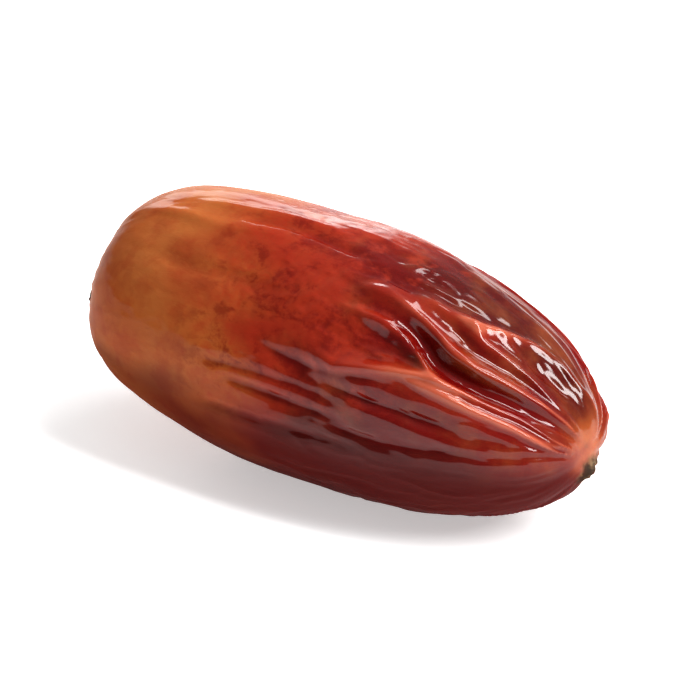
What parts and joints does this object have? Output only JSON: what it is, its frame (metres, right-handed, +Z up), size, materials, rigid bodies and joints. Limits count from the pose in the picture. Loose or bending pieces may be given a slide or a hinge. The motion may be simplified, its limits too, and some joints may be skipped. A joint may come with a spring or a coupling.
{
  "type": "date fruit",
  "caption": "Whole dried date with glossy wrinkled amber to dark red skin, a blunt stem end with its scar and a narrower tip, lying on its side.",
  "frame": {"origin": "on the ground, under the middle of the fruit's bounding box", "axes": "+Z up from the resting surface, +X along the fruit from the blunt stem end to the narrow tip, +Y across it"},
  "size_m": [0.0448, 0.0208, 0.0204],
  "materials": {
    "date_skin": "glossy waxy wrinkled fruit skin, amber at the stem end, dark red at the tip"
  },
  "bodies": {
    "root": {"date": "date_skin"}
  },
  "joints": []
}
